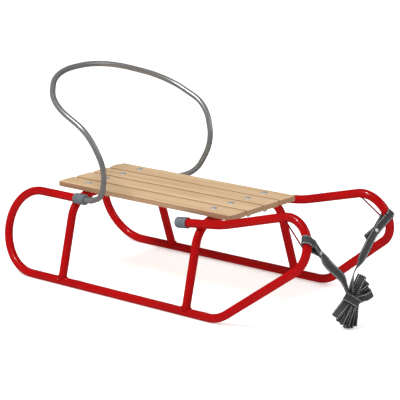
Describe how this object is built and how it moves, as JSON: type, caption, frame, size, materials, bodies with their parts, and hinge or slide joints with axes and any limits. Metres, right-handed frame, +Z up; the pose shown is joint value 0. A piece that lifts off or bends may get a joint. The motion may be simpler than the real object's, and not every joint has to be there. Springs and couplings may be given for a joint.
{
  "type": "wooden toboggan",
  "caption": "Child's toboggan with bent red tube runners, a slatted wooden seat, a plug-in backrest hoop and a webbing pull strap.",
  "frame": {"origin": "centre of the rigid sled's bounding box, at the ground under the runners", "axes": "+X forward to the runner noses, +Y to the sled's left, +Z up"},
  "size_m": [0.8994, 0.3656, 0.4445],
  "materials": {
    "red_tube": "gloss red powder coat",
    "red_rod": "gloss red powder coat on wire",
    "varnished_wood": "clear satin varnish on pale beech",
    "zinc_plate": "bright zinc plate",
    "grey_plastic": "moulded blue-grey plastic",
    "silver_tube": "silver-grey powder coat",
    "webbing": "dark grey woven polyester webbing"
  },
  "bodies": {
    "sled": {"runner_right": "red_tube", "runner_left": "red_tube", "bridge_rear": "red_tube", "bridge_front": "red_tube", "guard_rod_right": "red_rod", "guard_rod_left": "red_rod", "seat_slat_1": "varnished_wood", "seat_slat_2": "varnished_wood", "seat_slat_3": "varnished_wood", "seat_slat_4": "varnished_wood", "bolts_rear": "zinc_plate", "bolts_front": "zinc_plate", "washers_rear": "zinc_plate", "washers_front": "zinc_plate", "nuts_rear": "zinc_plate", "nuts_front": "zinc_plate", "rail_bush_right": "grey_plastic", "rail_bush_left": "grey_plastic", "rail_cap_right": "grey_plastic", "rail_cap_left": "grey_plastic", "strap_band_right": "webbing", "strap_band_left": "webbing", "strap_lead_right": "webbing", "strap_lead_left": "webbing", "strap_hank": "webbing", "strap_rivet_right": "zinc_plate", "strap_rivet_left": "zinc_plate"},
    "backrest": {"backrest_hoop": "silver_tube"}
  },
  "joints": [
    {"name": "backrest_pull_out", "type": "slide", "parent": "sled", "child": "backrest", "axis": [1, 0, 0], "range_m": [0, 0.06]}
  ]
}
